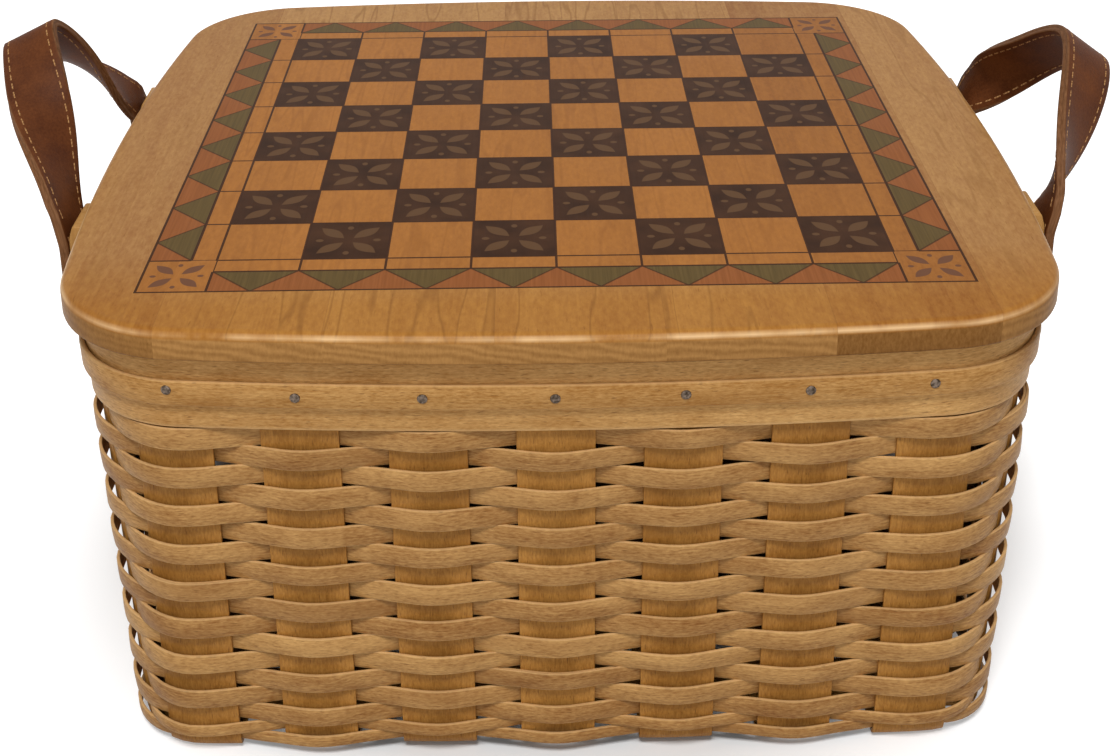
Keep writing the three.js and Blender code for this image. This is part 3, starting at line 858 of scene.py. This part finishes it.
def board_print(paint, bx, by, wood, light, fibre, stain):
    ax, ay = abs(bx), abs(by)
    far, near = ax.of("MAXIMUM", ay), ax.of("MINIMUM", ay)
    inside = far < FIELD
    in_strip = (far < STRIP_END) * (near < FIELD) * (1 - inside)
    in_border = (far < BOARD_END) * (far > STRIP_END) * (near < FIELD)
    in_corner = (far < BOARD_END) * (near > FIELD)
    colour = paint.mix(inside, wood, light)
    colour = paint.mix(in_corner | in_strip, colour, light)
    # squares and their flowers
    cx, cy = bx / CELL + 8, by / CELL + 8
    fx, fy = cx.of("FRACT") - 0.5, cy.of("FRACT") - 0.5
    odd_square = ((cx.of("FLOOR") + cy.of("FLOOR")) / 2).of("FRACT") * 2
    dark_square = (odd_square > 0.5) * inside
    brown = paint.mix(stain.spread(), "301908", "43260f")
    colour = paint.mix(dark_square, colour, brown)
    colour = paint.mix(flower(fx, fy) * dark_square, colour, "5b3f26")
    # saw teeth: sage ones stand on the inner line, and terracotta ones hang between
    sideways = paint.mix(ax > ay, paint.place(bx, 0), paint.place(by, 0))
    run = sideways.split()[0] / CELL + 8
    tooth = abs(run.of("FRACT") - 0.5)
    height = (far - STRIP_END) / (BOARD_END - STRIP_END)
    slope = tooth - (1 - height) * 0.5
    sage = paint.mix(fibre.spread(), "52401f", "64502b")
    terra = paint.mix(fibre.spread(), "824a21", "93582e")
    colour = paint.mix(in_border, colour, paint.mix(slope < 0, terra, sage))
    # flowers in the corner squares
    half = (BOARD_END - FIELD) / 2
    gx, gy = (ax - FIELD - half) / (2 * half), (ay - FIELD - half) / (2 * half)
    colour = paint.mix(flower(gx, gy) * in_corner, colour, "6a4530")
    # printed lines
    grid = 0.5 - (abs(fx) | abs(fy))
    cell_line = (grid * CELL < THIN_LINE) * (far < FIELD + 0.4)
    cell_line |= ((0.5 - tooth) * CELL < THIN_LINE) * in_strip
    ring = (abs(far - STRIP_END) < 0.55) * (near < FIELD) | (abs(far - BOARD_END) < FRAME_LINE)
    ring |= (abs(near - FIELD) < FRAME_LINE) * (far > STRIP_END) * (far < BOARD_END)
    ring |= (abs(far - FIELD) < FRAME_LINE) * (near < FIELD)
    tooth_line = (abs(slope) < TOOTH_LINE) * in_border
    return paint.mix((ring | cell_line | tooth_line * 0.75) * 0.95, colour, "371c0a")


# %% [markdown]
# ## The board's edge
# The edge shows end grain: slanted rings, another slant in each stave. It is darker than the top,
# partly where varnish soaked in and partly as painted shade on the upright edge. The rounded upper
# edge carries a painted highlight, a pale band where light catches it. Only the flat top carries
# the print.

# %% Lid edge and the whole material
def board_edge(paint, x, y, z, wood, grain):
    odd = grain["odd"]
    waver = paint.noise((x * 40, y * 40, z * 90), 3.0)
    slant = x * 500 * (odd - 0.5) + z * 1700 + waver * 18
    bands = (slant.of("SINE") * 0.5 + 0.5) * odd.ramp(0.2, 0.8) * 0.35
    bands += grain["fibre"].spread() * 0.25 + grain["fleck"].spread() * 0.15 + odd * 0.4
    # painted shade: the edge's colour is darker than the top's, partly from varnish soaking into end grain
    # and partly standing for the shade on the upright edge
    end_grain_and_shade = paint.mix(bands, "70471c", "b2834c")
    wood = paint.mix(z.ramp(LID_TOP - 3.4 * MM, LID_TOP - 2.6 * MM), end_grain_and_shade, wood)
    # painted highlight: a pale band along the rounded upper edge, where light catches it
    paler_edge = 1 - abs((z - (LID_TOP - 1.7 * MM)) / (1.25 * MM)).of("MINIMUM", 1.0)
    return paint.mix(paler_edge * grain["swirl"].ramp(0.3, 0.6) * 0.75, wood, "f2cc9a")


def lid_wood():
    paint = Paint("lid_maple_print", Coat_Roughness=0.25, Specular_IOR_Level=0.025)
    x, y, z = paint.on_object().split()
    bx, by = (x + PRINT_SHIFT) * PER_METRE, y * PER_METRE
    grain = stave_grain(paint, x, y, z, bx)
    wood, light = stave_colours(paint, y, grain)
    fibre, stain = grain["fibre"], paint.noise((x * 60, y * 60), 3.0)
    printed = board_print(paint, bx, by, wood, light, fibre, stain)
    on_top = z > LID_TOP - 0.2 * MM
    paint.set("Base Color", paint.mix(on_top, board_edge(paint, x, y, z, wood, grain), printed))
    paint.set("Roughness", fibre.ramp() * 0.14 + 0.36)
    paint.set("Coat Weight", stain.ramp(0.2, 0.8) * 0.04 + 0.02)
    paint.bump(fibre * 0.8 + grain["seam"] * 0.2, 0.15, 0.2 * MM)
    return paint


lid = make_lid(lid_wood())
print("lid of", len(lid.data.polygons), "faces")

# %% [markdown]
# ## Small parts
# Cleats and ears are plain wood. Nails, screws and rivets are turned metal: each is its profile,
# spun round its axis.

# %% Plain wood, metal and spinning
def plain_wood(name, deep, pale, rough, fibres, clouds):
    """Solid wood on Object coordinates. Each of the two patterns is stretched along the grain."""
    paint = Paint(name, Roughness=rough, Specular_IOR_Level=0.1)
    place = paint.on_object().split()
    fibre = paint.noise(tuple(v * scale for v, scale in zip(place, fibres)), 4.0, 0.6)
    cloud = paint.noise(tuple(v * scale for v, scale in zip(place, clouds)))
    tone = fibre.spread() * 0.5 + cloud.spread() * 0.5
    paint.set("Base Color", paint.mix(tone, deep, pale))
    paint.bump(fibre, 0.3, 0.2 * MM)
    return paint


def metal(name, dull, bright, rough):
    paint = Paint(name, Metallic=0.9)
    spots = paint.noise(paint.on_object(), 3.0, scale=900.0)
    paint.set("Base Color", paint.mix(spots.ramp(0.35, 0.65), dull, bright))
    paint.set("Roughness", spots.ramp(0.2, 0.8) * 0.25 + rough)
    return paint


cleat_paint = plain_wood("cleat_maple", "a47640", "c39a64", 0.5, (16, 420, 420), (6, 40, 40))
nail_metal = metal("nail_steel", "33291f", "75665a", 0.3)
rivet_metal = metal("rivet_brass", "7d5a34", "b58a55", 0.28)


def spun(profile, steps, at, facing):
    """A round piece: a profile of (radius, height) in mm, spun about Z and stood at its place."""
    bm = bmesh.new()
    verts = [bm.verts.new((r * MM, 0, h * MM)) for r, h in profile]
    edges = [bm.edges.new(pair) for pair in zip(verts, verts[1:])]
    bmesh.ops.spin(bm, geom=verts + edges, cent=(0, 0, 0), axis=(0, 0, 1), angle=2 * pi, steps=steps,
                   use_merge=True)
    bmesh.ops.remove_doubles(bm, verts=bm.verts, dist=1e-7)
    face_out(bm)
    turn = Vector(facing).to_track_quat("Z", "Y").to_matrix().to_4x4()
    bmesh.ops.transform(bm, matrix=Matrix.Translation(at) @ turn, verts=bm.verts)
    return bm


def join_all(parts):
    whole = bmesh.new()
    for bm in parts:
        mesh = mesh_of(bm, "part")
        whole.from_mesh(mesh)
        bpy.data.meshes.remove(mesh)
    return whole


print("plain wood and metal mixed")

# %% [markdown]
# ## Cleats
# Two battens screwed under the lid drop inside the rim and keep it from sliding. Each is a block
# with its lower edges eased, held by three screws.

# %% Cleats and their screws
SCREW = [(0, 0), (3.4, 0), (3.4, 0.25), (3.1, 0.6), (1.2, 0.85), (0, 0.9)]
SCREW_PLACES, SCREW_HEIGHT = (-125 * MM, 0, 125 * MM), LID_BOTTOM - 11.1 * MM
CLEAT_SIZE = (320 * MM, 28 * MM, 11 * MM)
CLEAT_PLACE, CLEAT_HEIGHT, CLEAT_EASE = 105 * MM, LID_BOTTOM - 5.65 * MM, 2.5 * MM
for name, sign in (("front", -1), ("back", 1)):
    out = sign * CLEAT_PLACE
    bm = block(CLEAT_SIZE, (0, out, CLEAT_HEIGHT))
    low = [e for e in bm.edges if all(v.co.z < CLEAT_HEIGHT for v in e.verts)]
    ease_edges(bm, low, CLEAT_EASE, 3)
    put_mesh(bm, f"batten_{name}", "lid", [f"lid_cleat_{name}"], [cleat_paint])
    heads = [spun(SCREW, 20, (x, out, SCREW_HEIGHT), (0, 0, -1)) for x in SCREW_PLACES]
    put_mesh(join_all(heads), f"batten_screws_{name}", "lid", (), [nail_metal])
print("2 cleats")

# %% [markdown]
# ## Tacks
# A round-headed nail goes through the trim strip into every stake. Each head is spun from a small
# profile with a shallow dimple, and stands square to the wall there.

# %% Tacks
TACK = [(0, 0.4), (0.65, 0.5), (1.3, 0.46), (1.75, 0.28), (1.9, 0.05), (1.9, -0.4), (0, -0.4)]
# a few were driven a little off their place: (side, stake) gives millimetres along and up
HAND_SET = {(0, 0): (0.5, 1.6), (0, 5): (-2.0, 0.1), (0, 6): (-3.2, 0.2)}


def make_tacks():
    chance = random.Random(28)
    for side, name in enumerate(("front", "right", "back", "left")):
        facing, out = FACING[side], TRIM_START + TRIM_THICK
        heads = []
        for index, place in enumerate(SIDES[side]):
            drawn = (chance.uniform(-1.2, 1.2), chance.uniform(-0.4, 0.4))
            slip, lift = HAND_SET.get((side, index), drawn)
            place += slip * MM
            z = TRIM_MIDDLE + lift * MM
            depth = wall_depth(facing, place, out, z)
            drop = wall_depth(facing, place + MM, out, z) - wall_depth(facing, place - MM, out, z)
            normal = Vector((*on_side(side, -drop / (2 * MM), 1), 0)).normalized()
            at = (*on_side(side, place, depth), z)
            heads.append(spun(TACK, 16, at, normal))
        put_mesh(join_all(heads), f"tacks_{name}", "basket", (), [nail_metal])


make_tacks()
print("28 tacks")

# %% [markdown]
# ## Ears
# Four small maple blocks stand on the trim strip and rise past the lid's edge. A step inside lets
# the lid pass. Each is its side profile, extruded to its width, with every edge eased.

# %% Ears
EAR_WIDTH, EAR_MIDDLE = 24 * MM, 68 * MM
EAR_FACE, EAR_EASE = 196.99 * MM, 0.8 * MM
# the side profile in mm, out from the face and up; the rim gives the places of the two inner corners
EAR_PROFILE = [(0, 149), (0, 178), (-0.2, 180.6), (-1.8, 185.5), (-5.8, 185.5), (-5.8, 180.6)]
EAR_INNER = (180.4 * MM, 149 * MM)


def make_ear(sign_x, sign_y):
    edge = EAR_MIDDLE - EAR_WIDTH / 2
    seat_top = TRIM_MIDDLE + TRIM_HEIGHT / 2
    trim_face = TRIM_START + TRIM_THICK + 0.4 * MM
    profile = [(EAR_FACE + out * MM, z * MM) for out, z in EAR_PROFILE]
    for z in EAR_INNER:
        profile.append((wall_depth("x", edge, trim_face, min(z, seat_top)), z))
    bm = bmesh.new()
    pull_out(bm, [bm.verts.new((x, edge, z)) for x, z in profile], (0, EAR_WIDTH, 0))
    ease_edges(bm, [e for e in bm.edges if e.calc_face_angle(0) > 0.6], EAR_EASE, 3, True)
    bmesh.ops.scale(bm, vec=(sign_x, sign_y, 1), verts=bm.verts)
    face_out(bm)
    return bm


ear_paint = plain_wood("ear_maple", "94662f", "ba8d54", 0.45, (420, 420, 16), (50, 50, 9))
ENDS = [(f"{side}_{end}", sx, sy) for side, sx in (("left", -1), ("right", 1))
        for end, sy in (("front", -1), ("back", 1))]
for name, sx, sy in ENDS:
    put_mesh(make_ear(sx, sy), f"ear_block_{name}", "basket", [f"ear_{name}"], [ear_paint])
print("4 ears")

# %% [markdown]
# ## Leather straps
# A strap is two layers of leather sewn together along both edges. It lies flat on the ear, leaves
# it with a lean outwards, and turns a quarter on its way to the crown, so that the hand gets its
# broad side. A curve could carry it, but a rule of its own holds its ends flat on the ears.

# %% Strap line
STRAP_WIDTH, STRAP_THICK, STRAP_TAB = 25.5 * MM, 4 * MM, 19.5 * MM
STRAP_X, HINGE_Z = 199.14 * MM, 180 * MM
# how each loop has settled in use: its lean in degrees, and in mm its rise, how rounded its crown is
# and how far back it sits
SETTLED = {-1: (26.5, 64.6, 12, 5), 1: (32.6, 58.6, 25, -2)}
RIGHT_TURN = radians(86)


def half_loop(rise, crown):
    """Points, directions and lengths along half of the loop, foot to crown, as (sideways, up)."""
    a, b = Vector((-EAR_MIDDLE, 0)), Vector((-EAR_MIDDLE, 2 * MM))
    c, d = Vector((-crown, rise)), Vector((0, rise))
    rows = []
    for k in range(201):
        t = k / 200
        u = 1 - t
        place = a * u ** 3 + b * 3 * u * u * t + c * 3 * u * t * t + d * t ** 3
        tangent = (b - a) * u * u + (c - b) * 2 * u * t + (d - c) * t * t
        rows.append((*place, *tangent.normalized()))
    rows = np.array(rows)
    far = np.concatenate([[0], np.cumsum(np.hypot(*np.diff(rows[:, :2], axis=0).T))])
    return rows, far


def strap_rule(side):
    """The bending rule of one strap, and the strap's length."""
    degrees, *sizes = SETTLED[side]
    settled_lean = radians(degrees)
    rise, crown, set_back = (size * MM for size in sizes)
    loop, loop_far = half_loop(rise, crown)
    half = float(loop_far[-1])
    ups = np.linspace(-25 * MM, 75 * MM, 801)
    leans = np.array([settled_lean * ease_step(u, -7 * MM, 7 * MM) for u in ups])
    mean = (leans[1:] + leans[:-1]) / 2
    lean_out = np.concatenate([[0], np.cumsum(np.sin(mean) * np.diff(ups))])
    lean_up = np.concatenate([[0], np.cumsum(np.cos(mean) * np.diff(ups))]) + ups[0]

    def rule(x, y, n):
        walked = x - STRAP_TAB
        mirrored = walked > half
        if mirrored:
            walked = 2 * half - walked
        if walked < 0:
            sideways, up, tangent_y, tangent_up = -EAR_MIDDLE, walked, 0.0, 1.0
        else:
            sideways, up, tangent_y, tangent_up = (float(np.interp(walked, loop_far, v)) for v in loop.T)
        # the left strap turns slowly all the way, and the right one turns soon after it leaves its ears
        share = max(walked / half, 0)
        if side < 0:
            turn = ease_step(share, 0.05, 1) * pi / 2
        elif mirrored:
            turn = sin(min(share / 0.65, 1) * pi / 2) * RIGHT_TURN
        else:
            turn = (1 - (1 - share) ** 2) * RIGHT_TURN
        if mirrored:
            sideways, tangent_up = -sideways, -tangent_up
        sideways += set_back * (1 - cos(pi * share)) / 2
        lean = float(np.interp(up, ups, leans))
        centre = Vector((STRAP_X + float(np.interp(up, ups, lean_out)), sideways,
                         HINGE_Z + float(np.interp(up, ups, lean_up))))
        rising = Vector((sin(lean), 0, cos(lean)))
        outward = Vector((cos(lean), 0, -sin(lean)))
        tangent = Vector((0, tangent_y, 0)) + rising * tangent_up
        flat = Vector((0, -tangent_up, 0)) + rising * tangent_y
        wide = flat * cos(turn) - outward * (side * sin(turn))
        point = centre + wide * y + tangent.cross(wide) * n
        return (side * point.x, point.y, point.z)

    return rule, 2 * (half + STRAP_TAB)


print("straps", [round(strap_rule(side)[1], 3) for side in (-1, 1)], "m long")

# %% [markdown]
# The leather is russet on its broad sides, with a fine pore, soft dark patches and small creases.
# The cut edges are paler, and a shallow groove runs between the two layers there.

# %% Leather materials
def leather(name, deep, warm, creases):
    paint = Paint(name, Specular_IOR_Level=0.08)
    along, across = paint.on_strip("Grain")
    place = paint.on_strip("Place")[1]
    spot = paint.place(along * PER_METRE, across * PER_METRE)
    to_edge = {"feature": "DISTANCE_TO_EDGE"}
    pore = paint.node("ShaderNodeTexVoronoi", to_edge, {"Vector": spot, "Scale": 1.3})
    cloud = paint.noise(spot, 4.0, 0.6, 0.055)
    fine = paint.noise(spot, 3.0, scale=0.9)
    crease = paint.noise((along * 900, across * 90))
    tone = cloud.spread() * 0.7 + fine.spread() * 0.3
    colour = paint.mix(tone, deep, warm)
    colour = paint.mix(crease.ramp(0.66, 0.8) * creases, colour, "3a1a0b")
    paler_edge = abs(place - 0.5).ramp(0.455, 0.5) * 0.45
    paint.set("Base Color", paint.mix(paler_edge, colour, "6f4526"))
    paint.set("Roughness", cloud.ramp(0.2, 0.8) * 0.2 + 0.42)
    paint.bump(pore.ramp(0.0, 0.25) * 0.6 + fine * 0.4 - crease * 0.3, 0.35, 0.15 * MM)
    return paint


def cut_edge():
    paint = Paint("leather_cut_edge", Roughness=0.6, Specular_IOR_Level=0.1)
    along, across = paint.on_strip("Grain")
    fibre = paint.noise((along * 300, across * 1400), 3.0)
    paint.set("Base Color", paint.mix(fibre.spread(), "5c3a1f", "80583a"))
    paint.bump(fibre, 0.4, 0.2 * MM)
    return paint


def thread():
    paint = Paint("waxed_thread", Roughness=0.55, Specular_IOR_Level=0.1)
    along, across = paint.on_strip("Grain")
    ply = (along * 4200 + across * 2400).of("SINE") * 0.5 + 0.5
    paint.set("Base Color", paint.mix(ply, "8a5f38", "b98d5c"))
    paint.bump(ply, 0.4, 0.1 * MM)
    return paint


strap_leather = leather("strap_leather", "3f1d0c", "6c3d1f", 0.35)
edge_leather, thread_paint = cut_edge(), thread()
print("leather and thread mixed")

# %% [markdown]
# ## Sewing and bending
# A strap is sewn while it is flat, here too: two lines of small eased blocks stand for the thread.
# Strap and stitches then follow one rule, so that they bend together.

# %% Straps and stitches
STITCH_SIZE, STITCH_PITCH, STITCH_IN = (3.3 * MM, 0.6 * MM, 0.36 * MM), 5.0 * MM, 3.1 * MM
STITCH_START, UNSEWN = 5 * MM, 8 * MM
HINGE_HEIGHT, GROOVE, EDGE_LANE = 16 * MM, 0.7 * MM, 0.5 * MM


def stitch_lines(length):
    """Two lines of stitches on each face of the flat strap, and how many a line has."""
    bm = bmesh.new()
    size = Matrix.Diagonal((*STITCH_SIZE, 1))
    count = int((length - UNSEWN) / STITCH_PITCH)
    for k in range(count):
        along = STITCH_START + (k + 0.5) * STITCH_PITCH
        for edge in (-1, 1):
            for face in (-1, 1):
                at = (along, edge * (STRAP_WIDTH / 2 - STITCH_IN), face * STRAP_THICK / 2)
                bmesh.ops.create_cube(bm, size=1, matrix=Matrix.Translation(at) @ size)
    ease_edges(bm, bm.edges[:], 0.14 * MM, 1)
    return bm, count


def sew_strap(side_name, side):
    rule, length = strap_rule(side)

    def bend_and_put(bm, seed, name, nodes, paints):
        map_and_bend(bm, seed, STRAP_WIDTH, rule)
        if side < 0:
            bmesh.ops.reverse_faces(bm, faces=bm.faces)
        return put_mesh(bm, f"{name}_{side_name}", None, nodes, paints)

    bm = flat_strip(length, STRAP_WIDTH, STRAP_THICK, 2.2 * MM, lanes=8, ease=0.9 * MM, turns=3)
    cut_through(bm, (0, 0, 0), (0, 0, 1))
    for vert in bm.verts:
        if abs(vert.co.z) < 1e-6 and abs(vert.co.y) > STRAP_WIDTH / 2 - 1e-6:
            vert.co.y *= 1 - GROOVE / STRAP_WIDTH
    for face in bm.faces:
        face.material_index = int(abs(face.calc_center_median().y) > STRAP_WIDTH / 2 - EDGE_LANE)
    nodes = [f"strap_loop_{side_name}", f"strap_end_{side_name}_front", f"strap_end_{side_name}_back"]
    strap = bend_and_put(bm, side_name, "strap", nodes, [strap_leather, edge_leather])
    stitches, count = stitch_lines(length)
    sewn = bend_and_put(stitches, "thread" + side_name, "strap_stitches", (), [thread_paint])
    for piece in (strap, sewn):
        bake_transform(piece)
    return count


for side_name, side in (("left", -1), ("right", 1)):
    print("strap", side_name, sew_strap(side_name, side), "stitches a line")

# %% [markdown]
# ## Rivets
# A domed rivet holds each strap end and its ear to the rim. It is spun from its profile.

# %% Rivets
RIVET = [(0, 2.0), (2.2, 1.9), (4.2, 1.4), (5.6, 0.7), (6.0, 0.15), (6.0, 0), (2.4, 0), (2.4, -9), (0, -9)]
RIVET_HEIGHT = 169 * MM
for name, sx, sy in ENDS:
    at = (sx * (STRAP_X + STRAP_THICK / 2), sy * EAR_MIDDLE, RIVET_HEIGHT)
    bm = spun(RIVET, 32, at, (sx, 0, 0))
    put_mesh(bm, f"rivet_head_{name}", "basket", [f"rivet_{name}"], [rivet_metal])
print("4 rivets")

# %% [markdown]
# ## Finish
# The box round everything that is shown, the floor left out, is printed.

# %% Write the sizes and finish
low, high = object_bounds()
print("visual box", [round(v, 4) for v in low], [round(v, 4) for v in high])
